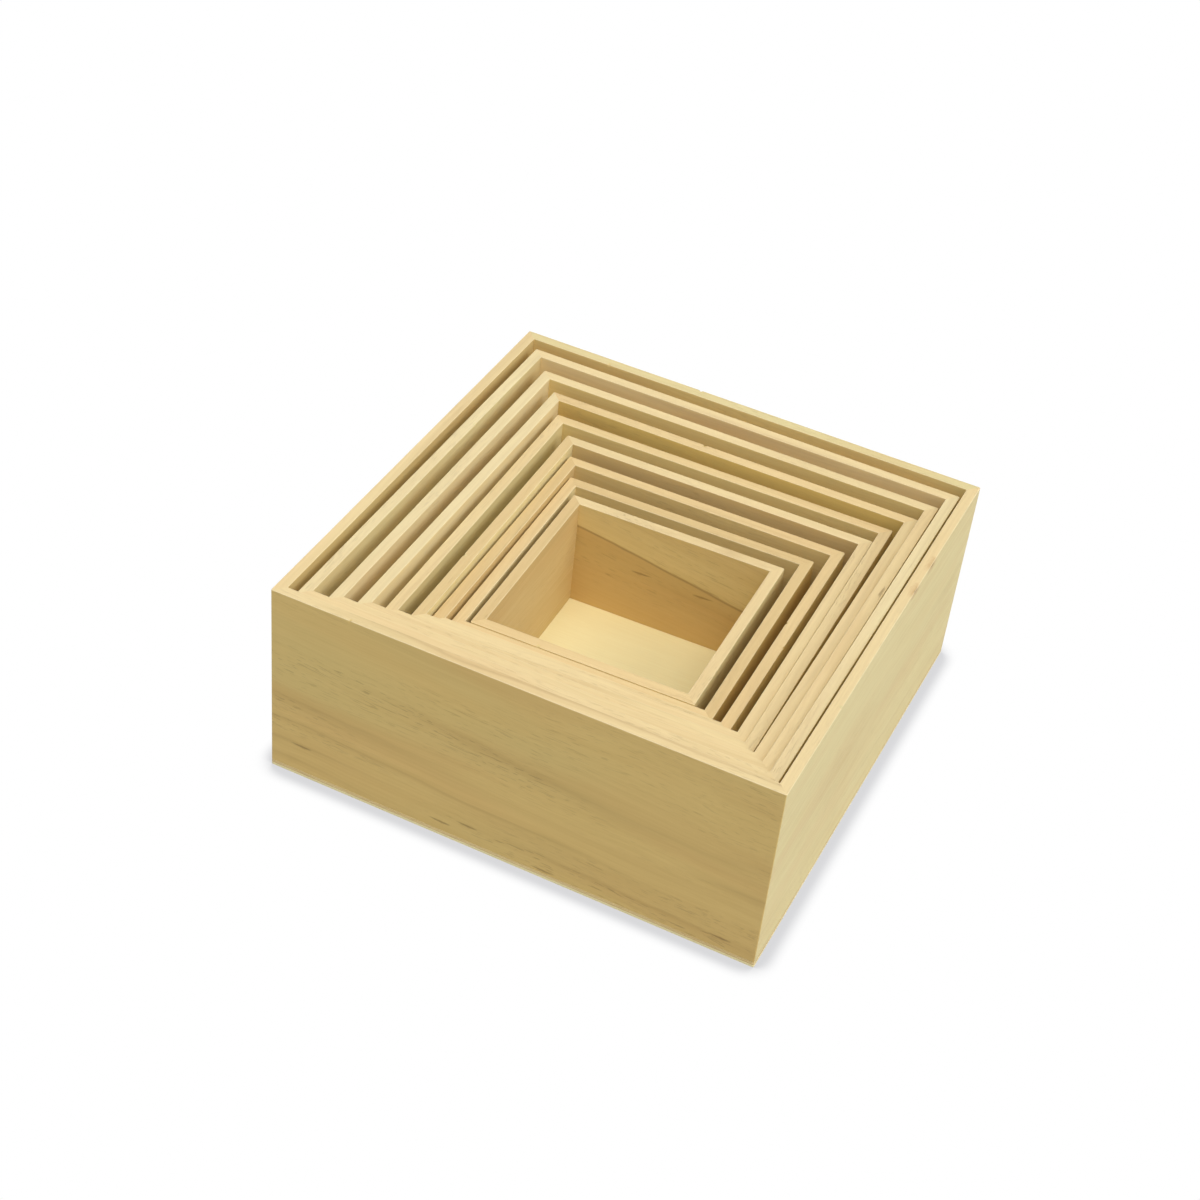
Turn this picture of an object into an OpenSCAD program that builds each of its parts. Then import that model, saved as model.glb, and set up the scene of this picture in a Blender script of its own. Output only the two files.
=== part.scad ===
// A nest of nine square, open-topped wooden boxes, each standing inside the next larger one.
// Every box is four thin boards, mitred and glued at the corners, on a thin plywood base panel.
// Box 1 is the largest. The origin is the middle of its underside, +Y is its back and +Z is up.

/* [Outer box] */
// Outside width and depth of box 1
nest_w = 210; // [180:1:300]
// Outside height of box 1, with its base panel
nest_h = 90; // [75:1:140]

/* [Boards] */
// Thickness of the wall boards
wall_t = 4.6; // [3:0.1:6]
// Thickness of the plywood base panels
base_t = 2.7; // [2:0.1:4]
// Width of the bevel that eases the two long edges of a rim
rim_ease = 0.3; // [0.1:0.1:1]

/* [Nesting] */
// Free play, side to side, of a box in the next larger one
play = 5.3; // [2:0.1:7]
// How far each box's width departs from the even step that the play gives, as the set was made
width_trim = [0, 0.7, 0, 0, 0, 0, 0.6, 0.3, -0.6]; // [-2:0.1:2]
// How much lower each box is than the next larger one
height_step = 4.6; // [3:0.1:6]
// How far each box's height departs from that even step, as the set was sawn
height_trim = [0, 0.4, 0.4, 0.3, -1.2, -0.6, -1.8, -2.4, -0.3]; // [-3:0.1:3]

/* [How the boxes lie] */
// Air left between two walls that lean on each other
touch_gap = 0.3; // [0.1:0.1:0.9]
// Share of its side play by which each box is pushed right, or left where it is negative
push_right = [0, 0.6, 1, 0.95, 0.35, 1, -0.6, -0.85, -0.4]; // [-1:0.05:1]
// Share of the largest turn its play allows by which each box is turned
turn_share = [0, 0, 0.13, 0, 0.35, 0.03, 0, 0.17, 0]; // [0:0.01:1]

/* [Hidden] */
BOXES = [1:9];
PIECES = ["front_wall", "right_wall", "back_wall", "left_wall", "base"];

// Box n from the outside: each is narrower by two walls and the play, and lower by one step, but
// for the trims
function box_w(n) = nest_w - (n - 1) * (2 * wall_t + play) + width_trim[n - 1];
function box_h(n) = nest_h - (n - 1) * height_step + height_trim[n - 1];
function inside_w(n) = box_w(n) - 2 * wall_t;

// Clear width that a box has to lie in, inside the next larger one
function berth_w(n) = inside_w(n - 1) - 2 * touch_gap;
// A square of width w turned by an angle is w * (cos + sin) = w * sqrt(2) * sin(angle + 45) wide
function largest_turn(n) = asin(berth_w(n) / (sqrt(2) * box_w(n))) - 45;
function turn(n) = turn_share[n - 1] * largest_turn(n);
function turned_w(n) = box_w(n) * sqrt(2) * sin(turn(n) + 45);
// How far a turned box can be pushed from the middle before it meets a wall
function reach(n) = (berth_w(n) - turned_w(n)) / 2;

// Puts a piece of box n in its place. Each box stands on the base panel of the one around it,
// pushed against that box's front wall and to one side.
module seat(n) {
    if (n == 1)
        children();
    else
        seat(n - 1)
            translate([push_right[n - 1] * reach(n), -reach(n), base_t])
                rotate(turn(n))
                    children();
}

// Section across a wall board, standing on the base panel, outside face at y = 0
module wall_section(n) {
    polygon([
        [0, base_t],
        [wall_t, base_t],
        [wall_t, box_h(n) - rim_ease],
        [wall_t - rim_ease, box_h(n)],
        [rim_ease, box_h(n)],
        [0, box_h(n) - rim_ease]
    ]);
}

// Plan of a board with both ends mitred at 45 degrees, the long side outside
module mitred_plan(n) {
    w = box_w(n);
    polygon([[-w / 2, 0], [w / 2, 0], [w / 2 - wall_t, wall_t], [-w / 2 + wall_t, wall_t]]);
}

// One wall board of box n, lying at the front of a box whose middle is at the origin
module wall_board(n) {
    w = box_w(n);
    translate([0, -w / 2, 0])
        intersection() {
            linear_extrude(box_h(n))
                mitred_plan(n);
            rotate([90, 0, 90])
                linear_extrude(w, center = true)
                    wall_section(n);
        }
}

// The four walls of a box are the same board, each a quarter turn on from the one before
module front_wall(n) {
    color("#c3a86c")
        seat(n)
            wall_board(n);
}

module right_wall(n) {
    color("#dfcf9f")
        seat(n)
            rotate(90)
                wall_board(n);
}

module back_wall(n) {
    color("#d2b379")
        seat(n)
            rotate(180)
                wall_board(n);
}

module left_wall(n) {
    color("#d8bd80")
        seat(n)
            rotate(270)
                wall_board(n);
}

// Plywood base panel, glued under the walls and flush with their outside faces
module base(n) {
    w = box_w(n);
    color("#efdc9d")
        seat(n)
            translate([-w / 2, -w / 2, 0])
                cube([w, w, base_t]);
}

for (n = BOXES) {
    front_wall(n);
    right_wall(n);
    back_wall(n);
    left_wall(n);
    base(n);
}
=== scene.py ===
# %% [markdown]
# A nest of nine square wooden boxes
#
# The object is a set of nine open-topped boxes of bare paulownia, each standing inside the next
# larger one. Every box is four thin boards, mitred at the corners, on a base panel of thin plywood.
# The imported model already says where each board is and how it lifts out. This script only dresses
# it: every plain board gets a finer mesh with softened edges, and a material made of growth rings,
# pores and fibres. The lines below load the model and note the box that it fills.

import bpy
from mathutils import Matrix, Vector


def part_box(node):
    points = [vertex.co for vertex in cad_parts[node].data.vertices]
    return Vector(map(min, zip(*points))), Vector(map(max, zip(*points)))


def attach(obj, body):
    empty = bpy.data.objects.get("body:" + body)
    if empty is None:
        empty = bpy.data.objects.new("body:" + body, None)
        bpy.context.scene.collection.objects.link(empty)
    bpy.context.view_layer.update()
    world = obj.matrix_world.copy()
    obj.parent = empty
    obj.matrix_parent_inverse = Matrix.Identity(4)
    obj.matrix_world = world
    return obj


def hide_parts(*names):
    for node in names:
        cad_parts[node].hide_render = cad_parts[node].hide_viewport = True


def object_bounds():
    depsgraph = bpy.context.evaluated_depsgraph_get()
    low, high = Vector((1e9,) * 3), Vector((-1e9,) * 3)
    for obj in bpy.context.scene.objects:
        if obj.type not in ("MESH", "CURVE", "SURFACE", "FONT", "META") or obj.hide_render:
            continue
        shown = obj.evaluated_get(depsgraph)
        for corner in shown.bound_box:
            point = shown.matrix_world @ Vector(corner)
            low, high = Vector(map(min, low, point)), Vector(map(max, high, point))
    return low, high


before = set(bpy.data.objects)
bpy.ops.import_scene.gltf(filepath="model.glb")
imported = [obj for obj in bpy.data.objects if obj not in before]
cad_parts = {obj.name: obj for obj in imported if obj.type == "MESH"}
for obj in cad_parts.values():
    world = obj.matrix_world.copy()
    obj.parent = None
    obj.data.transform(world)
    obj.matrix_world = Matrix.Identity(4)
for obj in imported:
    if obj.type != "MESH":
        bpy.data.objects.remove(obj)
cad_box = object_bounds()
print("CAD box in metres:", [tuple(round(c, 4) for c in corner) for corner in cad_box])

# %% [markdown]
# Reading the boxes
#
# A detailed board has to lie exactly where the plain one is. Its sizes could be typed in again, but
# then a change to the model would leave them behind, so they are measured on the model's own
# vertices. A box may be turned a little inside the next larger one. Its base panel is a square, so
# the panel's front left and front right corners give the turn and the width.

# %% Measuring a box
import math

import bmesh
import bpy
from mathutils import Matrix, Vector, noise

MM = 0.001
BOXES = range(1, 10)


def measure_box(n):
    """The place, turn and sizes of box n, in metres, as its base panel and front wall have them."""
    corners = [v.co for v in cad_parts[f"box_{n}_base"].data.vertices]
    front_left = min(corners, key=lambda c: c.x + c.y)
    front_right = max(corners, key=lambda c: c.x - c.y)
    back_right = max(corners, key=lambda c: c.x + c.y)
    turn = math.atan2(front_right.y - front_left.y, front_right.x - front_left.x)
    low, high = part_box(f"box_{n}_base")
    middle = (front_left + back_right) / 2
    place = Matrix.Translation((middle.x, middle.y, low.z)) @ Matrix.Rotation(turn, 4, "Z")
    wall = [place.inverted() @ v.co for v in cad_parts[f"box_{n}_front_wall"].data.vertices]
    depths = [v.y for v in wall]
    return {
        "place": place,
        "width": (front_right.xy - front_left.xy).length,
        "base_t": high.z - low.z,
        "wall_t": max(depths) - min(depths),
        "height": max(v.z for v in wall),
    }


boxes = {n: measure_box(n) for n in BOXES}
for n, box in boxes.items():
    print(f"box {n}: {box['width'] / MM:.1f} mm wide, {box['height'] / MM:.1f} mm high")

# %% [markdown]
# The camera
#
# The photograph looks down at about forty degrees on the front right corner, from nearly a metre
# away. The camera stands where the outline of the nest and the lines of its rims fall on the
# pictured ones. It is turned a little about its own line of sight, because the picture is cut from
# one side of a wider view. A large shift of the lens would copy that too, but it would push the
# nest out of every other view, so a small roll stands in for it.

# %% The camera
# Its place in metres, and its heading, drop and roll in radians
CAMERA_PLACE = Vector((0.25322, -0.66628, 0.64291))
CAMERA_HEADING = -0.38292
CAMERA_DROP = 0.68971
CAMERA_ROLL = 0.114
FOCAL_PX = 2295.35
PICTURE_PX = 1200
SENSOR_MM = 36

camera_data = bpy.data.cameras.new("camera")
camera_data.sensor_width = SENSOR_MM
camera_data.lens = SENSOR_MM * FOCAL_PX / PICTURE_PX
camera = bpy.data.objects.new("camera", camera_data)
bpy.context.scene.collection.objects.link(camera)
look_level = Matrix.Rotation(-CAMERA_HEADING, 4, "Z") @ Matrix.Rotation(math.pi / 2, 4, "X")
look_down = Matrix.Rotation(-CAMERA_DROP, 4, "X") @ Matrix.Rotation(CAMERA_ROLL, 4, "Z")
camera.matrix_world = Matrix.Translation(CAMERA_PLACE) @ look_level @ look_down
bpy.context.scene.camera = camera
bpy.context.scene.view_settings.view_transform = "Standard"
print(f"camera: {camera_data.lens:.1f} mm lens, {CAMERA_PLACE.length:.2f} m from the origin")

# %% [markdown]
# Colours and nodes
#
# Colours are written as sRGB hex values, as a paint chart gives them. Blender's shaders work with
# linear light, so one function turns the one into the other. A second function adds a node, sets it
# and joins it up, which keeps each material readable from top to bottom.

# %% Two helpers
def linear(hex_colour):
    """An sRGB hex colour such as "#ecd49e" as linear red, green, blue and alpha."""
    levels = [int(hex_colour[i:i + 2], 16) / 255 for i in (1, 3, 5)]
    return [c / 12.92 if c <= 0.04045 else ((c + 0.055) / 1.055) ** 2.4 for c in levels] + [1.0]


def add_node(tree, kind, settings=(), links=()):
    """Adds a node. settings are (property or input, value), links are (input, output feeding it)."""
    node = tree.nodes.new(kind)
    for name, value in settings:
        if isinstance(name, str) and hasattr(node, name):
            setattr(node, name, value)
        else:
            node.inputs[name].default_value = value
    for name, source in links:
        tree.links.new(node.inputs[name], source)
    return node


print("linear straw:", [round(c, 3) for c in linear("#ecd49e")[:3]])

# %% [markdown]
# The walls' wood
#
# The walls are bare paulownia, a light straw-coloured hardwood, planed and lightly sanded. That
# gives a matt surface with three things to see: growth rings that run along a board as broad bands
# with a thin darker line where each year ends, large pores that are cut open into short dark
# dashes, and fine fibres. A flat picture of grain wouldn't meet at the edges of a board. So the
# wood is a solid: every point of a board has a place in the trunk it was sawn from, and rings,
# pores and fibres are worked out there. The pattern then runs over a rim as in sawn wood.
#
# Each mesh carries two values for this: log_place, where the board lay, measured in millimetres
# from the trunk's middle, and log_lean, how much the grain climbs along the board. Real grain also
# waves, slowly over a hand's breadth and more quickly over a few centimetres, and its edges are
# ragged by some tenths of a millimetre.

# %% Places in the trunk
# Waves of the grain: length along the trunk, breadth across it, and sway to each side, in mm
WAVES = [(150, 45, 6.0), (40, 14, 1.3), (13, 4, 0.3)]


def board_millimetres(tree):
    """Each point's place on its own board, in mm."""
    here = add_node(tree, "ShaderNodeTexCoord")
    board_mm = add_node(tree, "ShaderNodeVectorMath", [("operation", "SCALE"), ("Scale", 1 / MM)],
                        [(0, here.outputs["Object"])])
    return board_mm.outputs[0]


def trunk_place(tree, board_mm):
    """Each point's place in the trunk, in mm: X along it, Y and Z across it, with wavy grain."""
    place = add_node(tree, "ShaderNodeAttribute", [("attribute_name", "log_place")])
    lean = add_node(tree, "ShaderNodeAttribute", [("attribute_name", "log_lean")])
    along = add_node(tree, "ShaderNodeSeparateXYZ", [], [(0, board_mm)])
    climb = add_node(tree, "ShaderNodeVectorMath", [("operation", "SCALE")],
                     [(0, lean.outputs["Vector"]), ("Scale", along.outputs["X"])])
    placed = add_node(tree, "ShaderNodeVectorMath", [],
                      [(0, board_mm), (1, place.outputs["Vector"])])
    point = add_node(tree, "ShaderNodeVectorMath", [],
                     [(0, placed.outputs[0]), (1, climb.outputs[0])])
    for length, breadth, sway in WAVES:
        scaled = add_node(tree, "ShaderNodeVectorMath",
                          [("operation", "MULTIPLY"), (1, (1 / length, 1 / breadth, 1 / breadth))],
                          [(0, point.outputs[0])])
        wave = add_node(tree, "ShaderNodeTexNoise", [("Scale", 1.0), ("Detail", 1.0)],
                        [("Vector", scaled.outputs[0])])
        swayed = add_node(tree, "ShaderNodeVectorMath",
                          [("operation", "MULTIPLY_ADD"), (1, (0, 2 * sway, 2 * sway)),
                           (2, (0, -sway, -sway))], [(0, wave.outputs["Color"])])
        point = add_node(tree, "ShaderNodeVectorMath", [],
                         [(0, point.outputs[0]), (1, swayed.outputs[0])])
    return point.outputs[0]


print("waves in the grain:", len(WAVES))

# %% [markdown]
# Stretched noise
#
# Nearly all that shows in wood is long and thin. The same noise, squeezed across the grain and
# drawn out along it, makes pores when it is a few millimetres long and half a millimetre wide,
# fibres at some centimetres, and broad bands at the length of a board. Only the part of the noise
# between two levels is used, so a high pair of levels leaves single marks, and a wide pair leaves
# soft clouds.

# %% Noise drawn out along the grain
def drawn_out(tree, point, size_mm, low, high, strength=1.0, detail=0.0):
    """Noise of this length and breadth: 0 below the level low, and strength above the level high."""
    length, breadth = size_mm
    scaled = add_node(tree, "ShaderNodeVectorMath",
                      [("operation", "MULTIPLY"), (1, (1 / length, 1 / breadth, 1 / breadth))],
                      [(0, point)])
    pattern = add_node(tree, "ShaderNodeTexNoise", [("Scale", 1.0), ("Detail", detail)],
                       [("Vector", scaled.outputs[0])])
    level = add_node(tree, "ShaderNodeMapRange",
                     [("From Min", low), ("From Max", high), ("To Max", strength)],
                     [("Value", pattern.outputs["Fac"])])
    return level.outputs[0]


print("made: one helper for bands, clouds, fibres and pores")

# %% [markdown]
# Growth rings
#
# A year's growth is about 7 mm wide in this fast tree. It starts with a thin brown line and a zone
# of large pores, and gets denser until the next line. The distance from the trunk's middle, counted
# in years, has a fractional part that runs from 0 to 1 in each ring, and a colour ramp turns that
# into the line and its soft edge. A line never shows all along a board, so slow noise fades it in
# and out. Each board has a figure from 0 to 1 that says how strongly its rings show.

# %% Growth rings
YEAR_MM = 7.5
# Darkness at places in a year's growth, from one line to the next
YEAR_STOPS = ((0.05, 0.72), (0.20, 0.30), (0.60, 0.0), (0.88, 0.24))
LINE_FADES = {"size_mm": (130.0, 18.0), "low": 0.36, "high": 0.56}
# Pores are crowded up to the end of spring, and from summer on only a share of them is left
SPRING_END = 0.25
SUMMER_START = 0.75
SUMMER_PORES = 0.35


def growth_rings(tree, point):
    """The distance from the trunk's middle in mm, the year lines, and where pores are common."""
    across = add_node(tree, "ShaderNodeVectorMath", [("operation", "MULTIPLY"), (1, (0, 1, 1))],
                      [(0, point)])
    radius = add_node(tree, "ShaderNodeVectorMath", [("operation", "LENGTH")],
                      [(0, across.outputs[0])])
    years = add_node(tree, "ShaderNodeMath", [("operation", "DIVIDE"), (1, YEAR_MM)],
                     [(0, radius.outputs["Value"])])
    season = add_node(tree, "ShaderNodeMath", [("operation", "FRACT")], [(0, years.outputs[0])])
    darkness = add_node(tree, "ShaderNodeValToRGB", [], [("Fac", season.outputs[0])])
    stops = darkness.color_ramp.elements
    stops[0].color = (1, 1, 1, 1)
    stops[1].color = (1, 1, 1, 1)
    for place, level in YEAR_STOPS:
        stops.new(place).color = (level, level, level, 1)
    showing = drawn_out(tree, point, **LINE_FADES)
    line = add_node(tree, "ShaderNodeMath", [("operation", "MULTIPLY")],
                    [(0, darkness.outputs["Color"]), (1, showing)])
    pore_zone = add_node(tree, "ShaderNodeMapRange",
                         [("From Min", SPRING_END), ("From Max", SUMMER_START),
                          ("To Min", 1.0), ("To Max", SUMMER_PORES)],
                         [("Value", season.outputs[0])])
    return radius.outputs["Value"], line.outputs[0], pore_zone.outputs[0]


print("years in 100 mm of wood:", round(100 / YEAR_MM, 1))

# %% [markdown]
# Pin knots and flecks
#
# Here and there a dead twig leaves a pin knot, a brown dot of a millimetre with a paler halo, and a
# bruise in the growing wood leaves a fleck, a brown dash of some millimetres. Both are drawn out
# along the grain. Noise could scatter them, but then they would fall anywhere. So each has a place
# on its board, which is handed to the material as one more value on the mesh, and a board without
# such a mark has it far outside.

# %% Pin knots and flecks
KNOT_NAMES = ("knot_a", "knot_b")
FLECK_NAMES = ("fleck_a", "fleck_b", "fleck_c", "fleck_d", "fleck_e")
# A length along the grain counts only this much, which draws the mark out
KNOT_STRETCH = 0.45
FLECK_STRETCH = 0.20
# How far a mark's outline wanders, and the noise that it follows
RAGGED_MM = 1.2
RAGGED_NOISE = [("Scale", 0.8), ("Detail", 2.0)]
NOWHERE = (0, 0, -900)


def away_from_mark(tree, board_mm, mark_name, stretch):
    """How far each point is from this knot or fleck, in mm, counted less along the grain."""
    mark = add_node(tree, "ShaderNodeAttribute", [("attribute_name", mark_name)])
    way = add_node(tree, "ShaderNodeVectorMath", [("operation", "SUBTRACT")],
                   [(0, board_mm), (1, mark.outputs["Vector"])])
    shortened = add_node(tree, "ShaderNodeVectorMath",
                         [("operation", "MULTIPLY"), (1, (stretch, 1, 1))], [(0, way.outputs[0])])
    length = add_node(tree, "ShaderNodeVectorMath", [("operation", "LENGTH")],
                      [(0, shortened.outputs[0])])
    ragged = add_node(tree, "ShaderNodeTexNoise", RAGGED_NOISE, [("Vector", shortened.outputs[0])])
    wobble = add_node(tree, "ShaderNodeMath", [("operation", "MULTIPLY_ADD"), (1, 2 * RAGGED_MM)],
                      [(0, ragged.outputs["Fac"]), (2, length.outputs["Value"])])
    away = add_node(tree, "ShaderNodeMath", [("operation", "SUBTRACT"), (1, RAGGED_MM)],
                    [(0, wobble.outputs[0])])
    return away.outputs[0]


print("marks that a board can carry:", len(KNOT_NAMES), "knots and", len(FLECK_NAMES), "flecks")

# %% [markdown]
# Colouring the marks
#
# Every mark on the wood is a glaze: a thin coat of one tone that covers more or less of what lies
# under it. This function gives the glazes of all knots and flecks. A knot has a tan halo and a
# small dark core. A fleck is plain olive brown.

# %% Glazes of knots and flecks
# Tone of each ring of a mark, how far it reaches from the middle in mm, and how much it covers
KNOT_RINGS = (("#c08c4c", 3.0, 0.45), ("#845a2c", 0.8, 0.60))
FLECK_RINGS = (("#7d5a28", 0.9, 0.55),)
# A ring covers most within its reach divided by this, and thins out from there
CORE_PART = 3


def mark_glazes(tree, board_mm):
    """(tone, share covered) of each ring of each knot and fleck."""
    marks = [(name, KNOT_STRETCH, KNOT_RINGS) for name in KNOT_NAMES]
    marks += [(name, FLECK_STRETCH, FLECK_RINGS) for name in FLECK_NAMES]
    glazes = []
    for mark_name, stretch, rings in marks:
        away = away_from_mark(tree, board_mm, mark_name, stretch)
        for tone, reach_mm, cover in rings:
            spot = add_node(tree, "ShaderNodeMapRange",
                            [("From Min", reach_mm), ("From Max", reach_mm / CORE_PART),
                             ("To Max", cover)], [("Value", away)])
            glazes.append((tone, spot.outputs[0]))
    return glazes


for tone, reach_mm, cover in KNOT_RINGS:
    print(f"ring of a knot: {tone} up to {reach_mm} mm from its middle")

# %% [markdown]
# Heartwood
#
# The middle of an old trunk is heartwood, orange brown, and its border is a thin dark line with soft
# edges. One of the boards in the photograph, the back of the smallest box, was sawn across that
# border. Here the heartwood is all that lies within 60 mm of the trunk's middle.

# %% Glazes of the heartwood
HEARTWOOD_MM = 60.0
BORDER_MM = 0.9
# Tone of a glaze, and how much it covers at most
HEARTWOOD_GLAZE = ("#bd8d45", 0.50)
BORDER_GLAZE = ("#7a5220", 0.55)


def heartwood_glazes(tree, radius):
    """(tone, share covered) of the heartwood and of the dark line round it."""
    heart_tone, heart_cover = HEARTWOOD_GLAZE
    inside = add_node(tree, "ShaderNodeMapRange",
                      [("From Min", HEARTWOOD_MM + BORDER_MM), ("From Max", HEARTWOOD_MM - BORDER_MM),
                       ("To Max", heart_cover)], [("Value", radius)])
    beyond = add_node(tree, "ShaderNodeMath", [("operation", "SUBTRACT"), (1, HEARTWOOD_MM)],
                      [(0, radius)])
    away = add_node(tree, "ShaderNodeMath", [("operation", "ABSOLUTE")], [(0, beyond.outputs[0])])
    border_tone, border_cover = BORDER_GLAZE
    border = add_node(tree, "ShaderNodeMapRange",
                      [("interpolation_type", "SMOOTHSTEP"), ("From Min", BORDER_MM), ("From Max", 0),
                       ("To Max", border_cover)], [("Value", away.outputs[0])])
    return [(heart_tone, inside.outputs[0]), (border_tone, border.outputs[0])]


print("heartwood across:", 2 * HEARTWOOD_MM, "mm")

# %% [markdown]
# Pores
#
# Paulownia's pores are 0.2 to 0.3 mm wide, too fine for the picture, so they are drawn about 0.4 mm
# wide. They are crowded in the wood of spring and come in patches, because a board cuts some of them
# lengthwise and others slantwise.

# %% Pores
PORES = {"size_mm": (5.5, 0.42), "low": 0.62, "high": 0.72}
PORE_PATCHES = {"size_mm": (90.0, 24.0), "low": 0.36, "high": 0.60}


def cut_pores(tree, point, pore_zone):
    """1 in the pores that the saw has cut open, and 0 between them."""
    in_season = add_node(tree, "ShaderNodeMath", [("operation", "MULTIPLY")],
                         [(0, drawn_out(tree, point, **PORES)), (1, pore_zone)])
    in_patches = add_node(tree, "ShaderNodeMath", [("operation", "MULTIPLY")],
                          [(0, in_season.outputs[0]), (1, drawn_out(tree, point, **PORE_PATCHES))])
    return in_patches.outputs[0]


print("length and width of a pore as drawn, in mm:", PORES["size_mm"])

# %% [markdown]
# The glazes of a board
#
# Over the board's own tone lie, one after the other, clouds of warmer wood, fibres, heartwood,
# clouds of cooler wood, broad bands, year lines, pores and marks. The four from the cool clouds to
# the pores are stronger on a board with more figure. The last glaze is pale, because sanding rubs
# the arrises paler.

# %% The glazes of a board
# Length and breadth of each pattern in mm, and the levels and the detail of its noise
FIBRES = {"size_mm": (70.0, 1.1), "low": 0.30, "high": 0.70, "detail": 3.0}
WARM_CLOUDS = {"size_mm": (95.0, 17.0), "low": 0.48, "high": 0.72, "detail": 1.0}
COOL_CLOUDS = {"size_mm": (120.0, 22.0), "low": 0.50, "high": 0.74, "detail": 1.0}
BANDS = {"size_mm": (240.0, 14.0), "low": 0.40, "high": 0.66, "detail": 1.0}
# Tone of each glaze, and how much it covers at most
WARM_GLAZE = ("#dfa868", 0.14)
FIBRE_GLAZE = ("#b08a4c", 0.13)
COOL_GLAZE = ("#cdc482", 0.20)
BAND_GLAZE = ("#c39a58", 0.25)
LINE_GLAZE = ("#9a6f32", 0.26)
PORE_GLAZE = ("#7d5c2c", 0.30)
WEAR_GLAZE = ("#fbeecb", 0.35)


def board_glazes(tree, board_mm, point, radius, line, pores):
    """(tone, share covered) of all that lies over a board's own tone, from the lowest up."""
    glazes = []
    for (tone, cover), pattern in ((WARM_GLAZE, WARM_CLOUDS), (FIBRE_GLAZE, FIBRES)):
        glazes.append((tone, drawn_out(tree, point, **pattern, strength=cover)))
    glazes += heartwood_glazes(tree, radius)
    figure = add_node(tree, "ShaderNodeAttribute", [("attribute_name", "figure")])
    cool_clouds = drawn_out(tree, point, **COOL_CLOUDS)
    bands = drawn_out(tree, point, **BANDS)
    figured = [(COOL_GLAZE, cool_clouds), (BAND_GLAZE, bands)]
    figured += [(LINE_GLAZE, line), (PORE_GLAZE, pores)]
    for (tone, cover), pattern in figured:
        on_this_board = add_node(tree, "ShaderNodeMath", [("operation", "MULTIPLY")],
                                 [(0, pattern), (1, figure.outputs["Fac"])])
        share = add_node(tree, "ShaderNodeMath", [("operation", "MULTIPLY"), (1, cover)],
                         [(0, on_this_board.outputs[0])])
        glazes.append((tone, share.outputs[0]))
    glazes += mark_glazes(tree, board_mm)
    tone, cover = WEAR_GLAZE
    wear = add_node(tree, "ShaderNodeAttribute", [("attribute_name", "wear")])
    rubbed = add_node(tree, "ShaderNodeMath", [("operation", "MULTIPLY"), (1, cover)],
                      [(0, wear.outputs["Fac"])])
    glazes.append((tone, rubbed.outputs[0]))
    return glazes


print("a year line covers up to", LINE_GLAZE[1], "of the wood, a pore up to", PORE_GLAZE[1])

# %% [markdown]
# Putting the paulownia together
#
# The board's own tone comes first, and the glazes go over it. Bare wood has an IOR near 1.5 and is
# rough, and the fine hollows between its fibres are rougher still. Those hollows and the open pores
# also press into the surface, by some hundredths of a millimetre, which gives each pore a light and
# a dark edge.

# %% Paulownia
WOOD_IOR = 1.5
WOOD_ROUGHNESS = (0.56, 0.68)
FIBRE_DEPTH_MM = 0.015
PORE_DEPTH_MM = 0.08


def bare_paulownia():
    """Paulownia, planed and lightly sanded, with no varnish."""
    material = bpy.data.materials.new("bare_paulownia")
    material.use_nodes = True
    tree = material.node_tree
    shader = tree.nodes["Principled BSDF"]
    shader.inputs["IOR"].default_value = WOOD_IOR
    board_mm = board_millimetres(tree)
    point = trunk_place(tree, board_mm)
    radius, line, pore_zone = growth_rings(tree, point)
    pores = cut_pores(tree, point, pore_zone)
    fibres = drawn_out(tree, point, **FIBRES)

    colour = add_node(tree, "ShaderNodeAttribute", [("attribute_name", "tone")]).outputs["Color"]
    for tone, share in board_glazes(tree, board_mm, point, radius, line, pores):
        mixed = add_node(tree, "ShaderNodeMix", [("data_type", "RGBA"), (7, linear(tone))],
                         [(0, share), (6, colour)])
        colour = mixed.outputs[2]
    tree.links.new(shader.inputs["Base Color"], colour)

    rough = add_node(tree, "ShaderNodeMapRange",
                     [("To Min", WOOD_ROUGHNESS[0]), ("To Max", WOOD_ROUGHNESS[1])],
                     [("Value", fibres)])
    tree.links.new(shader.inputs["Roughness"], rough.outputs[0])
    fibre_height = add_node(tree, "ShaderNodeMath", [("operation", "MULTIPLY"), (1, -FIBRE_DEPTH_MM)],
                            [(0, fibres)])
    height = add_node(tree, "ShaderNodeMath", [("operation", "MULTIPLY_ADD"), (1, -PORE_DEPTH_MM)],
                      [(0, pores), (2, fibre_height.outputs[0])])
    relief = add_node(tree, "ShaderNodeBump", [("Distance", MM)], [("Height", height.outputs[0])])
    tree.links.new(shader.inputs["Normal"], relief.outputs[0])
    return material


paulownia = bare_paulownia()
print("paulownia:", len(paulownia.node_tree.nodes), "nodes")

# %% [markdown]
# The base panels' plywood
#
# The base panels are thin plywood with a pale, smooth face veneer, peeled from the log and sanded.
# Peeling cuts along the rings, so the face shows only broad, faint clouds and fine fibres. At the
# panel's edge the lowest ply shows as the pale line that the photograph has along the foot of the
# nest. The plies above it are a little browner there, so they get a second, darker veneer.

# %% Plywood
VENEER_FIBRES = {"size_mm": (40.0, 0.8), "low": 0.30, "high": 0.75, "detail": 3.0}
VENEER_CLOUDS = {"size_mm": (120.0, 30.0), "low": 0.35, "high": 0.70, "detail": 1.0}
VENEER_ROUGHNESS = (0.5, 0.6)
VENEER_DEPTH_MM = 0.012
# Tone of a ply, tone of its fibres and clouds, and how much these cover at most
FACE_PLY = ("#fcf1bd", "#e6cf8a", 0.18)
CORE_PLY = ("#ecd49a", "#b98f4c", 0.40)


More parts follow.
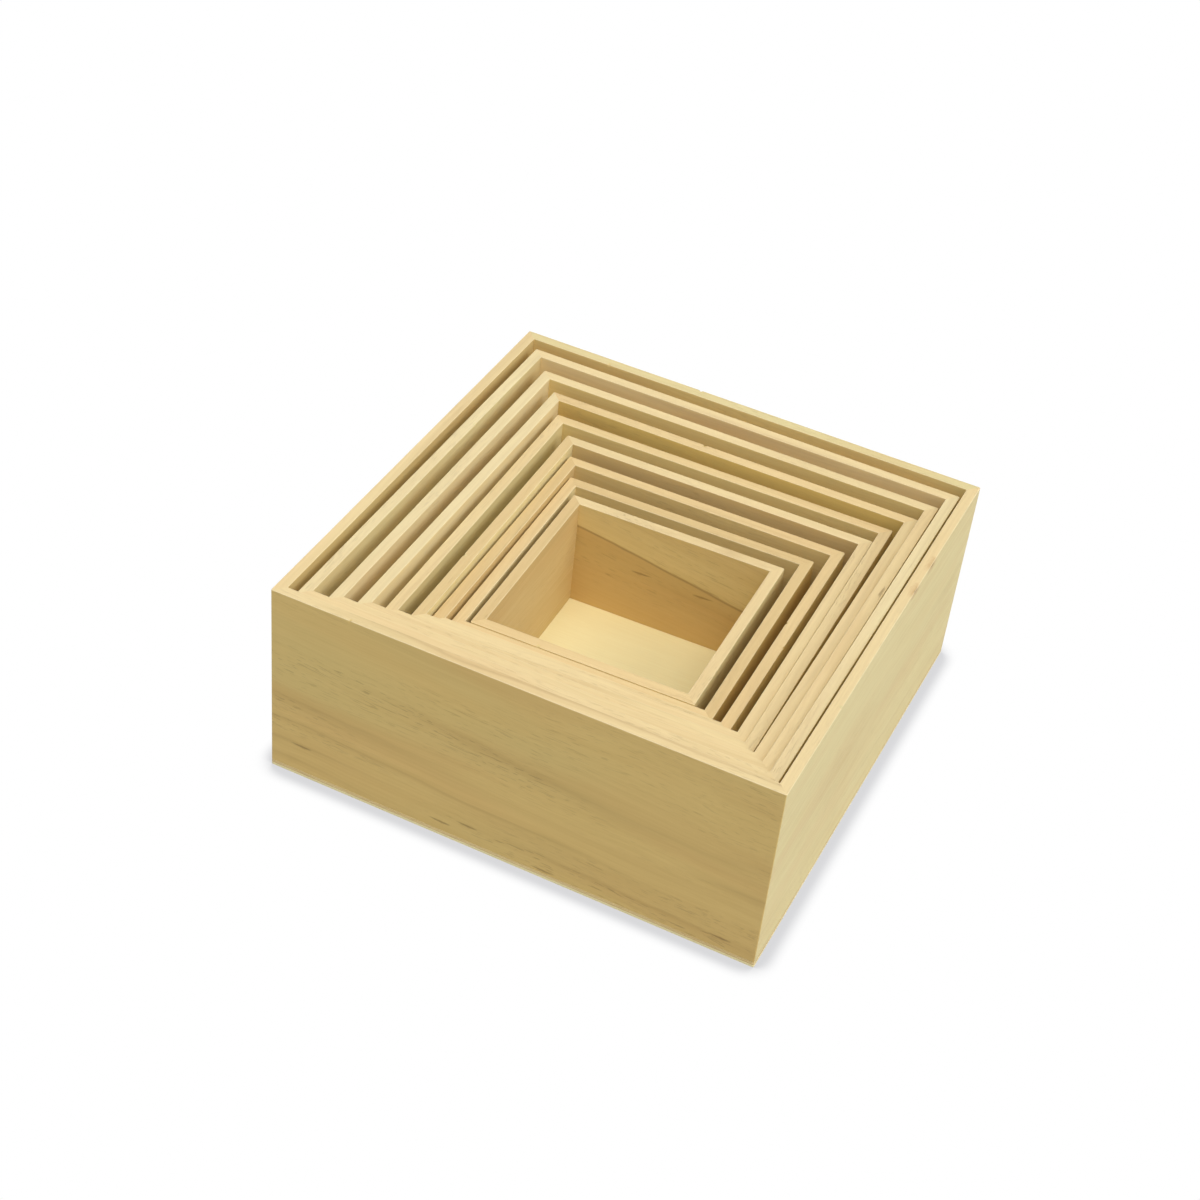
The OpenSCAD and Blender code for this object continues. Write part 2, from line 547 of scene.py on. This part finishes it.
def plywood(name, ply_tone, fibre_tone, cover):
    """A sanded ply, pale with fine fibres along the panel's X axis."""
    material = bpy.data.materials.new(name)
    material.use_nodes = True
    tree = material.node_tree
    shader = tree.nodes["Principled BSDF"]
    shader.inputs["IOR"].default_value = WOOD_IOR
    point = trunk_place(tree, board_millimetres(tree))
    clouds = drawn_out(tree, point, **VENEER_CLOUDS, strength=cover)
    clouded = add_node(tree, "ShaderNodeMix",
                       [("data_type", "RGBA"), (6, linear(ply_tone)), (7, linear(fibre_tone))],
                       [(0, clouds)])
    fibre_shares = drawn_out(tree, point, **VENEER_FIBRES, strength=cover)
    fibred = add_node(tree, "ShaderNodeMix", [("data_type", "RGBA"), (7, linear(fibre_tone))],
                      [(0, fibre_shares), (6, clouded.outputs[2])])
    tree.links.new(shader.inputs["Base Color"], fibred.outputs[2])

    fibres = drawn_out(tree, point, **VENEER_FIBRES)
    rough = add_node(tree, "ShaderNodeMapRange",
                     [("To Min", VENEER_ROUGHNESS[0]), ("To Max", VENEER_ROUGHNESS[1])],
                     [("Value", fibres)])
    tree.links.new(shader.inputs["Roughness"], rough.outputs[0])
    height = add_node(tree, "ShaderNodeMath", [("operation", "MULTIPLY"), (1, -VENEER_DEPTH_MM)],
                      [(0, fibres)])
    relief = add_node(tree, "ShaderNodeBump", [("Distance", MM)], [("Height", height.outputs[0])])
    tree.links.new(shader.inputs["Normal"], relief.outputs[0])
    return material


face_veneer = plywood("plywood_face_veneer", *FACE_PLY)
core_veneer = plywood("plywood_core_veneer", *CORE_PLY)
print("plywood:", face_veneer.name, "and", core_veneer.name)

# %% [markdown]
# The section of a wall board
#
# A board could be a plain block with a bevel, but two boards of a box have to share one rounded
# corner, and each bevel would round its own end. So the board is drawn as a joiner would rout it:
# one cross-section, with softened upper edges, is led along the side of the box and stops in the
# middle of each corner. This cell works out the section. Its points on the two arrises are marked
# as worn, for the paler wood there.

# %% The section
# Radius of the edges at the rim, and width of the small bevels at the foot
ARRIS_MM = 0.28
FOOT_ARRIS_MM = 0.15
ARC_STEPS = 4
# How far apart the section's points lie on a face and across the rim
FACE_STEP_MM = 9
RIM_STEP_MM = 1.2
# How far below the rim a face has its uppermost point
RIM_BAND_MM = 1.2


def arc(middle_a, middle_b, radius, start_deg):
    """Points of a quarter circle from start_deg on, turning clockwise."""
    turns = [math.radians(start_deg - 90 * i / ARC_STEPS) for i in range(ARC_STEPS + 1)]
    return [(middle_a + radius * math.cos(a), middle_b + radius * math.sin(a)) for a in turns]


def spread(start, end, step):
    """Evenly spaced values from start to end, without the ends, about one step apart."""
    count = max(1, round(abs(end - start) / step))
    return [start + (end - start) * i / count for i in range(1, count)]


def wall_section(box):
    """(depth from the outside, height, wear) of points round a board's section, from the foot up."""
    t, low, high = box["wall_t"] / MM, box["base_t"] / MM, box["height"] / MM
    r, foot = ARRIS_MM, FOOT_ARRIS_MM
    band = high - RIM_BAND_MM
    face = [low + foot] + spread(low + foot, band, FACE_STEP_MM) + [band]
    points = [(0, z, 0) for z in face]
    for depth, start_deg in ((r, 180), (t - r, 90)):
        if start_deg == 90:
            points += [(y, high, 0) for y in spread(r, t - r, RIM_STEP_MM)]
        bend = arc(depth, high - r, r, start_deg)
        points += [(y, z, 0 if (y, z) in (bend[0], bend[-1]) else 1) for y, z in bend]
    points += [(t, z, 0) for z in reversed(face)]
    points += [(t - foot, low, 0), (foot, low, 0)]
    return points


print("section points of box 1:", len(wall_section(boxes[1])))

# %% [markdown]
# The path round a corner
#
# Where the section is near the outside it follows the corner's arc, and further in it runs into a
# sharp mitre. Each board stops at the mitre, halfway round the corner, where the next one begins.

# %% The path
CORNER_MM = 0.6


def side_path(width, depth, stations):
    """(along, inwards) of points along one side of a square box at this depth from its outside."""
    half, r = width / 2, max(CORNER_MM, depth)
    turns = [math.radians(45 * i / ARC_STEPS) for i in range(ARC_STEPS + 1)]
    end = [(half - r + (r - depth) * math.sin(a), r - (r - depth) * math.cos(a)) for a in turns]
    return [(-x, y) for x, y in reversed(end)] + [(x, depth) for x in stations] + end


corners_only = side_path(boxes[1]["width"] / MM, 0, [])
print("points round the two half corners of a side:", len(corners_only))

# %% [markdown]
# Wear on a board
#
# Planed boards aren't quite flat: a plane or a sanding belt leaves hollows of some hundredths of a
# millimetre, and the boxes nick each other's rims when they are put away. Hollows and nicks only
# ever go inwards here, so a board stays inside the space that the plain one holds. Two nicks are
# where the photograph shows them, on the right board of box 7, and a few more are put on boards
# where they would be expected.

# %% Wear
# Depth of the hollows on a face and along the rim, their length, and how far from a corner they end
HOLLOW_MM = 0.08
RIM_DIP_MM = 0.10
HOLLOW_LENGTH_MM = 35
FADE_MM = 15
# The rim takes its dips from another part of the same noise, and they reach down this far
DIP_SHIFT = 7.3
RIM_ZONE_MM = 2 * ARRIS_MM
# Half the length of a nick, its depth, and how far it reaches across the rim
NICK_MM = 0.9
NICK_DEPTH_MM = 0.45
NICK_REACH_MM = 3 * ARRIS_MM
# Where each nick is along its board, in mm from the middle, and on which edge of the rim
OUTER, INNER = "outer", "inner"
NICKS = {
    (7, "right"): [(8.4, INNER), (-5.9, OUTER)],
    (1, "front"): [(-71.0, OUTER)],
    (1, "right"): [(-52.0, OUTER)],
    (1, "back"): [(22.0, OUTER), (64.0, INNER)],
    (2, "left"): [(-34.0, INNER)],
    (4, "back"): [(12.0, OUTER)],
    (6, "left"): [(25.0, OUTER)],
    (9, "front"): [(-18.0, OUTER)],
}


def worn(point, seed, box, nicks):
    """The point, in mm, pressed in a little where the plane, the sanding or a knock took some off."""
    x, y, z = point
    t, half, high = box["wall_t"] / MM, box["width"] / MM / 2, box["height"] / MM
    side = 1 if y < t / 2 else -1
    fade = min(1, max(0, (half - t - abs(x)) / FADE_MM))
    hollow = noise.noise(Vector((x / HOLLOW_LENGTH_MM, seed, z / HOLLOW_LENGTH_MM)))
    dip = noise.noise(Vector((x / HOLLOW_LENGTH_MM, seed + DIP_SHIFT, 0)))
    inwards = HOLLOW_MM * abs(hollow) * fade * side
    down = 0
    if z > high - RIM_ZONE_MM:
        down = RIM_DIP_MM * abs(dip) * fade
        for place, edge in nicks:
            hit = NICK_DEPTH_MM * max(0, 1 - abs(x - place) / NICK_MM)
            if (edge == OUTER) == (side == 1):
                near = max(0, 1 - min(y, t - y) / NICK_REACH_MM)
                inwards += side * hit * near
                down += hit * near
    return (x, y + inwards, z - down)


print("nicks:", sum(len(places) for places in NICKS.values()))

# %% [markdown]
# A board's mesh
#
# The section, led along the path, gives rings of points that are joined by four-sided faces, with a
# flat cap in each mitre. Stations every 6 mm are enough for the hollows, and a nick gets five of its
# own, a fraction of a millimetre apart.

# %% Building a board's mesh
STATION_MM = 6
MITRE_ROOM_MM = 2
# Stations of a nick, in shares of its half length, and the room that the others leave for them
NICK_STATIONS = (-1, -0.5, 0, 0.5, 1)
NICK_ROOM_MM = 1.5 * NICK_MM
# Points closer than this are one point
WELD_MM = 0.001
# The hollows' noise is nought at whole numbers, so a board's seed lies this much above one
BETWEEN_WHOLES = 0.5


def stations_of(box, nicks):
    """Places along a board, in mm, where its section is set."""
    end = (box["width"] - 2 * box["wall_t"]) / MM / 2 - MITRE_ROOM_MM
    places = [-end] + spread(-end, end, STATION_MM) + [end]
    for x, edge in nicks:
        places = [p for p in places if abs(p - x) > NICK_ROOM_MM]
        places += [x + NICK_MM * share for share in NICK_STATIONS]
    return sorted(places)


def board_mesh(name, box, seed, nicks=()):
    """A mitred wall board, lying along X with its outside at y = 0, in metres."""
    section = wall_section(box)
    stations = stations_of(box, nicks)
    rings = [side_path(box["width"] / MM, depth, stations) for depth, height, wear in section]
    length = len(rings[0])
    points = [worn((x, y, height), seed, box, nicks)
              for (depth, height, wear), ring in zip(section, rings) for x, y in ring]
    faces = [tuple(reversed([i * length for i in range(len(section))])),
             tuple(i * length + length - 1 for i in range(len(section)))]
    for i in range(len(section)):
        j = (i + 1) % len(section)
        faces += [(i * length + k, i * length + k + 1, j * length + k + 1, j * length + k)
                  for k in range(length - 1)]
    mesh = bpy.data.meshes.new(name)
    mesh.from_pydata([Vector(p) * MM for p in points], [], faces)
    wear = mesh.attributes.new("wear", "FLOAT", "POINT")
    wear.data.foreach_set("value", [row[2] for row in section for k in range(length)])
    shell = bmesh.new()
    shell.from_mesh(mesh)
    bmesh.ops.remove_doubles(shell, verts=shell.verts, dist=WELD_MM * MM)
    bmesh.ops.recalc_face_normals(shell, faces=shell.faces)
    shell.to_mesh(mesh)
    shell.free()
    return mesh


trial = board_mesh("trial", boxes[1], BETWEEN_WHOLES)
print("front board of box 1:", len(trial.vertices), "points,", len(trial.polygons), "faces")
bpy.data.meshes.remove(trial)

# %% [markdown]
# Each board its own tone
#
# No two boards of the real nest have quite the same colour: some are creamy, some straw yellow,
# some as brown as a biscuit. The rims are paler than the faces, which is painted light for the
# rims that face up into the lamps. Some boards are also set paler or darker than their wood, as
# painted light and shade for the faces seen down in the gaps between the boxes. Each tone gets a
# name, and two lists say which board has which, in the order front, right, back, left.

# %% Tones
SIDES = ["front", "right", "back", "left"]
TONES = {
    "cream": "#f3e3aa",
    "ivory": "#ecdca2",
    "straw": "#f0d791",
    "honey": "#e2c676",
    "biscuit": "#e5c67b",
    "oat": "#e6ce8e",
    "fawn": "#dbc086",
    "sand": "#eacd93",
    "light": "#f9e6b2",
    "fresh": "#f7dfa8",
    "warm": "#f4d79d",
}
# Tones of the faces: the wood's own colour, shifted paler or darker on some boards as painted light
# and shade in the gaps
FACE_TONES_WITH_PAINTED_LIGHT = {
    1: "biscuit ivory straw oat",
    2: "straw straw fresh cream",
    3: "straw straw straw light",
    4: "straw honey honey light",
    5: "straw straw straw ivory",
    6: "straw straw fawn cream",
    7: "straw straw oat fawn",
    8: "straw biscuit oat cream",
    9: "straw ivory oat fawn",
}
# Tones of the rims: paler than the faces, which paints the light that falls on the upward rims
RIM_TONES_WITH_PAINTED_LIGHT = {
    1: "fresh fresh ivory fresh",
    2: "fresh light fresh light",
    3: "fresh fresh fresh light",
    4: "fresh fresh warm light",
    5: "fresh fresh warm fresh",
    6: "fresh fresh fresh sand",
    7: "fresh warm warm sand",
    8: "warm sand sand warm",
    9: "warm fresh fresh sand",
}
print("tones:", ", ".join(TONES))

# %% [markdown]
# Each board its own place in the trunk
#
# Where a board lay in the trunk decides its figure: far from the middle the rings pass as straight
# bands, near to it they spread out into flames. Most boards get a place from a simple rule, by
# which it moves on with the numbers of the box and of the side. Three boards, whose figure the
# photograph shows best, get theirs listed one by one. The front of box 1 has flames in its lower
# half that fall to the right, its right side is nearly plain, and the back of box 9 crosses the
# border of the heartwood in a long slant.

# %% Cuts
# Where the middle of a board's foot lay in the trunk, how much its grain climbs, and its figure
CHOSEN_CUTS = {
    (1, "front"): {"place": (0, 78, -82), "lean": (0, 0, 0.044), "figure": 1.0},
    (1, "right"): {"place": (900, 96, -60), "lean": (0, 0, 0.02), "figure": 0.25},
    (9, "back"): {"place": (3200, 2, 27), "lean": (0, 0, -0.145), "figure": 0.7},
}
LOG_STEP_MM = 311.0
# On each axis across the trunk, a place starts from a value in mm and moves round within a spread,
# by one share of it for each box and another for each side
ACROSS_RULES = (
    {"from": 62, "spread": 50, "box": 0.62, "side": 0.27},
    {"from": -95, "spread": 80, "box": 0.37, "side": 0.53},
)
LEAN_RULE = {"most": 0.05, "box": 2.1, "side": 1.3}
RULE_FIGURE = 0.4


def board_number(n, k):
    """A number that only board k of box n has."""
    return 10 * n + k


def cut_of(n, k):
    """Where board k of box n was sawn from, how its grain leans, and how strong its figure is."""
    across = [rule["from"] + rule["spread"] * ((rule["box"] * n + rule["side"] * k) % 1)
              for rule in ACROSS_RULES]
    lean = LEAN_RULE["most"] * math.sin(LEAN_RULE["box"] * n + LEAN_RULE["side"] * k)
    by_rule = {
        "place": (LOG_STEP_MM * board_number(n, k), *across),
        "lean": (0, 0, lean),
        "figure": RULE_FIGURE,
    }
    return CHOSEN_CUTS.get((n, SIDES[k]), by_rule)


print("trunk place of box 4's right board, in mm:", [round(mm) for mm in cut_of(4, 1)["place"]])

# %% [markdown]
# The marks that the photograph shows
#
# Two pin knots lie on the outer edge of box 1's right rim, and a dark fleck lies on the right rim
# of box 3. Five short flecks lie low on the front board of box 1, and two on the back board of
# box 9. Each place is along the board from its middle, inwards and up, in millimetres.

# %% Marks
MARKS = {
    (1, "right"): {"knot_a": (46.0, 0.0, 89.0), "knot_b": (26.5, 0.0, 89.5)},
    (3, "right"): {"fleck_a": (25.9, 1.0, 81.2)},
    (1, "front"): {
        "fleck_a": (-91, 0, 15.9),
        "fleck_b": (-28.6, 0, 7.1),
        "fleck_c": (-16.8, 0, 10.7),
        "fleck_d": (16.4, 0, 4.0),
        "fleck_e": (90.4, 0, 8.0),
    },
    (9, "back"): {"fleck_a": (12, 4.6, 28.4), "fleck_b": (-15.7, 4.6, 27.4)},
}
print("marks:", sum(len(places) for places in MARKS.values()), "on", len(MARKS), "boards")

# %% [markdown]
# Dressing a board
#
# A mesh can carry values on its points, which a material reads by their names. That is how every
# board tells the one wood material its own tones, its place in the trunk, its figure and its marks,
# and no board needs a material of its own. The rim's paler tone, which is painted light, starts a
# little below the top, within the rounded edge.

# %% Dressing a board
FLAT_UNDER_DEG = 35
# Depth below the top at which the rim's paler tone, painted light, begins
PAINTED_RIM_LIGHT_MM = 0.6 * ARRIS_MM


def on_every_point(mesh, name, value):
    """Gives every point of the mesh this value under this name, for the material to read."""
    single = isinstance(value, (int, float))
    layer = mesh.attributes.new(name, "FLOAT" if single else "FLOAT_VECTOR", "POINT")
    numbers = [value] if single else list(value)
    layer.data.foreach_set("value" if single else "vector", numbers * len(mesh.vertices))


def sharpen(piece):
    """Smooth shading on rounded edges, with flat faces that stay flat."""
    piece.data.shade_smooth()
    piece.data.set_sharp_from_angle(angle=math.radians(FLAT_UNDER_DEG))
    piece.modifiers.new("flat faces stay flat", "WEIGHTED_NORMAL").keep_sharp = True


def dress(board, n, k):
    """Gives a board its material, its tones, its place in the trunk and its marks."""
    mesh = board.data
    mesh.materials.append(paulownia)
    # The rim gets its own paler tone, which paints the light on it, and the faces get theirs
    painted_rim_light_from = boxes[n]["height"] - PAINTED_RIM_LIGHT_MM * MM
    rim, face = (linear(TONES[words[n].split()[k]]) for words in (RIM_TONES_WITH_PAINTED_LIGHT, FACE_TONES_WITH_PAINTED_LIGHT))
    colours = [rim if v.co.z > painted_rim_light_from else face for v in mesh.vertices]
    tones = mesh.attributes.new("tone", "FLOAT_COLOR", "POINT")
    tones.data.foreach_set("color", [level for colour in colours for level in colour])
    cut = cut_of(n, k)
    on_every_point(mesh, "log_place", cut["place"])
    on_every_point(mesh, "log_lean", cut["lean"])
    on_every_point(mesh, "figure", cut["figure"])
    marks = MARKS.get((n, SIDES[k]), {})
    for mark_name in KNOT_NAMES + FLECK_NAMES:
        on_every_point(mesh, mark_name, marks.get(mark_name, NOWHERE))
    sharpen(board)


print("the rim's tone starts", round(PAINTED_RIM_LIGHT_MM, 2), "mm below the top")

# %% [markdown]
# Hanging the wall boards
#
# Each board is the same piece of joinery, a quarter turn on from the one before. It replaces the
# plain board of the model and rides on its box, so it lifts out with it.

# %% The wall boards
for n, box in boxes.items():
    for k, side in enumerate(SIDES):
        name = f"box_{n}_{side}_board"
        seed = board_number(n, k) + BETWEEN_WHOLES
        mesh = board_mesh(name, box, seed, NICKS.get((n, side), ()))
        board = bpy.data.objects.new(name, mesh)
        bpy.context.scene.collection.objects.link(board)
        outside = Matrix.Translation((0, -box["width"] / 2, 0))
        board.matrix_world = box["place"] @ Matrix.Rotation(k * math.pi / 2, 4, "Z") @ outside
        dress(board, n, k)
        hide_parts(f"box_{n}_{side}_wall")
        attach(board, f"box_{n}")
print("boards:", len(boxes) * len(SIDES))

# %% [markdown]
# The base panels
#
# A base panel is a square of three-ply that is glued under the walls and sanded flush with them. A
# plain slab would hide the plies, which show as pale and darker strips along the edge. So the edge
# is drawn as a profile with a fine groove at each glue line, led round the panel with the same
# rounded corners as the walls, and the faces between the grooves get the core's material.

# %% A panel's mesh
# Shares of the thickness that the lowest ply and the middle one take up
PLY_SHARES = (0.46, 0.30)
GLUE_LINE_MM = 0.05
PANEL_ARRIS_MM = 0.2
# Where the middle point of a rounded edge lies, in shares of its radius
ARRIS_MIDDLE = 0.3
PANEL_STATIONS = 5
# A face belongs to the edge if its normal rises less than this
EDGE_RISE = 0.5


def panel_edge(thick):
    """(depth from the outside, height) of points up the edge of a panel this thick, in mm."""
    lower, upper = PLY_SHARES[0] * thick, (PLY_SHARES[0] + PLY_SHARES[1]) * thick
    g, r = GLUE_LINE_MM, PANEL_ARRIS_MM
    bend = r * ARRIS_MIDDLE
    foot = [(r, 0), (bend, bend), (0, r)]
    grooves = [point for z in (lower, upper) for point in ((0, z - g), (g, z), (0, z + g))]
    top = [(0, thick - r), (bend, thick - bend), (r, thick)]
    return foot + grooves + top


def panel_mesh(name, box):
    """A square three-ply panel, its plies told apart at the edge by fine grooves, in metres."""
    width, thick = box["width"] / MM, box["base_t"] / MM
    end = width / 2 - MITRE_ROOM_MM
    stations = [-end] + spread(-end, end, width / PANEL_STATIONS) + [end]
    rings = []
    for depth, z in panel_edge(thick):
        side = [Vector((x, y - width / 2, z)) for x, y in side_path(width, depth, stations)[:-1]]
        rings.append([Matrix.Rotation(k * math.pi / 2, 3, "Z") @ p for k in range(4) for p in side])
    count = len(rings[0])
    last = (len(rings) - 1) * count
    faces = [tuple(reversed(range(count))), tuple(range(last, last + count))]
    for i in range(len(rings) - 1):
        faces += [(i * count + k, i * count + (k + 1) % count, (i + 1) * count + (k + 1) % count,
                   (i + 1) * count + k) for k in range(count)]
    mesh = bpy.data.meshes.new(name)
    mesh.from_pydata([p * MM for ring in rings for p in ring], [], faces)
    mesh.materials.append(face_veneer)
    mesh.materials.append(core_veneer)
    for face in mesh.polygons:
        on_edge = abs(face.normal.z) < EDGE_RISE
        face.material_index = 1 if on_edge and face.center.z / MM > PLY_SHARES[0] * thick else 0
    return mesh


print("points up a panel's edge:", len(panel_edge(boxes[1]["base_t"] / MM)))

# %% [markdown]
# Hanging the base panels
#
# Each panel goes where the plain one is and rides on its box. The veneer of each comes from another
# place in the log, so that no two panels look the same.

# %% The base panels
# How far apart the veneers lay along the log, how far from its middle, and that they don't lean
VENEER_STEP_MM = 407.0
VENEER_OUT_MM = 400.0
LEVEL_GRAIN = (0, 0, 0)

for n, box in boxes.items():
    name = f"box_{n}_base_panel"
    panel = bpy.data.objects.new(name, panel_mesh(name, box))
    bpy.context.scene.collection.objects.link(panel)
    panel.matrix_world = box["place"]
    on_every_point(panel.data, "log_place", (n * VENEER_STEP_MM, VENEER_OUT_MM, 0))
    on_every_point(panel.data, "log_lean", LEVEL_GRAIN)
    sharpen(panel)
    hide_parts(f"box_{n}_base")
    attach(panel, f"box_{n}")
print("base panels:", len(boxes))

# %% [markdown]
# The floor
#
# The photograph has a pure white ground with a narrow grey contact shadow along the foot of the box.
# A white floor under the lamps would need more light than the wood can bear. So the camera sees a
# floor that glows at a strength of 1, which is white, darkened only where the box stands close, and
# every other ray sees plain matt grey that throws some light back on the wood. Ambient occlusion
# finds how much of the sky each point of the floor sees within some millimetres, which is just what
# a contact shadow shows.

# %% The floor
FLOOR_SIZE = 30
FLOOR_ALBEDO = 0.55
# How far from the nest the shadow reaches, its darkest grey, and the rays that feel for it
SHADOW_MM = 10
SHADOW_GREY = "#d9d9db"
SHADOW_RAYS = 32
# Share of open sky at which the shadow is darkest, and at which it ends
DARK_SKY, OPEN_SKY = 0.62, 0.98


def seen_directly(tree):
    """1 for rays from the camera, and for those that reach the floor by gloss or through glass."""
    path = add_node(tree, "ShaderNodeLightPath")
    some = add_node(tree, "ShaderNodeMath", [("operation", "MAXIMUM")],
                    [(0, path.outputs["Is Camera Ray"]), (1, path.outputs["Is Glossy Ray"])])
    more = add_node(tree, "ShaderNodeMath", [("operation", "MAXIMUM")],
                    [(0, some.outputs[0]), (1, path.outputs["Is Transmission Ray"])])
    return more.outputs[0]


def white_floor():
    """White to the camera with a contact shadow, matt grey to the light that falls on it."""
    material = bpy.data.materials.new("white_floor")
    material.use_nodes = True
    tree = material.node_tree
    tree.nodes.remove(tree.nodes["Principled BSDF"])
    matt = add_node(tree, "ShaderNodeBsdfDiffuse", [("Color", [FLOOR_ALBEDO] * 3 + [1])])
    near = add_node(tree, "ShaderNodeAmbientOcclusion",
                    [("Distance", SHADOW_MM * MM), ("samples", SHADOW_RAYS)])
    open_share = add_node(tree, "ShaderNodeMapRange",
                          [("interpolation_type", "SMOOTHSTEP"), ("From Min", DARK_SKY),
                           ("From Max", OPEN_SKY)], [("Value", near.outputs["AO"])])
    shade = add_node(tree, "ShaderNodeMix",
                     [("data_type", "RGBA"), (6, linear(SHADOW_GREY)), (7, (1, 1, 1, 1))],
                     [(0, open_share.outputs[0])])
    glow = add_node(tree, "ShaderNodeEmission", [("Strength", 1.0)], [("Color", shade.outputs[2])])
    both = add_node(tree, "ShaderNodeMixShader", [],
                    [(0, seen_directly(tree)), (1, matt.outputs[0]), (2, glow.outputs[0])])
    tree.links.new(tree.nodes["Material Output"].inputs["Surface"], both.outputs[0])
    return material


half = FLOOR_SIZE / 2
floor_mesh = bpy.data.meshes.new("floor")
floor_mesh.from_pydata([(-half, -half, 0), (half, -half, 0), (half, half, 0), (-half, half, 0)], [],
                       [(0, 1, 2, 3)])
floor_mesh.materials.append(white_floor())
floor = bpy.data.objects.new("floor", floor_mesh)
floor.location.z = cad_box[0].z
bpy.context.scene.collection.objects.link(floor)
print("floor:", FLOOR_SIZE, "m square")

# %% [markdown]
# The light
#
# The nest was photographed under soft studio light: the rims are evenly bright, the right side is
# lighter than the front, and nothing throws a hard shadow. Three sun lamps with a wide angle stand in
# for softboxes. The key hangs nearly overhead, a little in front, and a lower one stands at the
# right. A weak one stands low behind on the left and keeps the far sides from going dull. A sun is
# as bright on a lifted box as on one that stands on the floor, so every pose is lit alike. A faint
# sky fills the gaps between the boxes. The camera sees the sky as white, like the floor.

# %% The light
SKY_LEVEL = 0.26
SOFTBOXES = {
    "key_softbox": {"level": 0.48, "towards": (0.16, -0.40, 0.90)},
    "side_softbox": {"level": 0.40, "towards": (0.84, 0.0, 0.54)},
    "fill_softbox": {"level": 0.25, "towards": (-0.70, 0.68, 0.22)},
}
SOFTBOX_SPREAD_DEG = 45

world = bpy.data.worlds.new("sky")
world.use_nodes = True
tree = world.node_tree
background = tree.nodes["Background"]
background.inputs["Color"].default_value = (1, 1, 1, 1)
level = add_node(tree, "ShaderNodeMapRange", [("To Min", SKY_LEVEL), ("To Max", 1.0)],
                 [("Value", seen_directly(tree))])
tree.links.new(background.inputs["Strength"], level.outputs[0])
bpy.context.scene.world = world

for name, settings in SOFTBOXES.items():
    lamp = bpy.data.lights.new(name, "SUN")
    lamp.energy = settings["level"] * math.pi
    lamp.angle = math.radians(SOFTBOX_SPREAD_DEG)
    softbox = bpy.data.objects.new(name, lamp)
    softbox.rotation_mode = "QUATERNION"
    softbox.rotation_quaternion = Vector(settings["towards"]).to_track_quat("Z", "Y")
    bpy.context.scene.collection.objects.link(softbox)
    print(f"{name}: {lamp.energy:.2f} W per square metre")
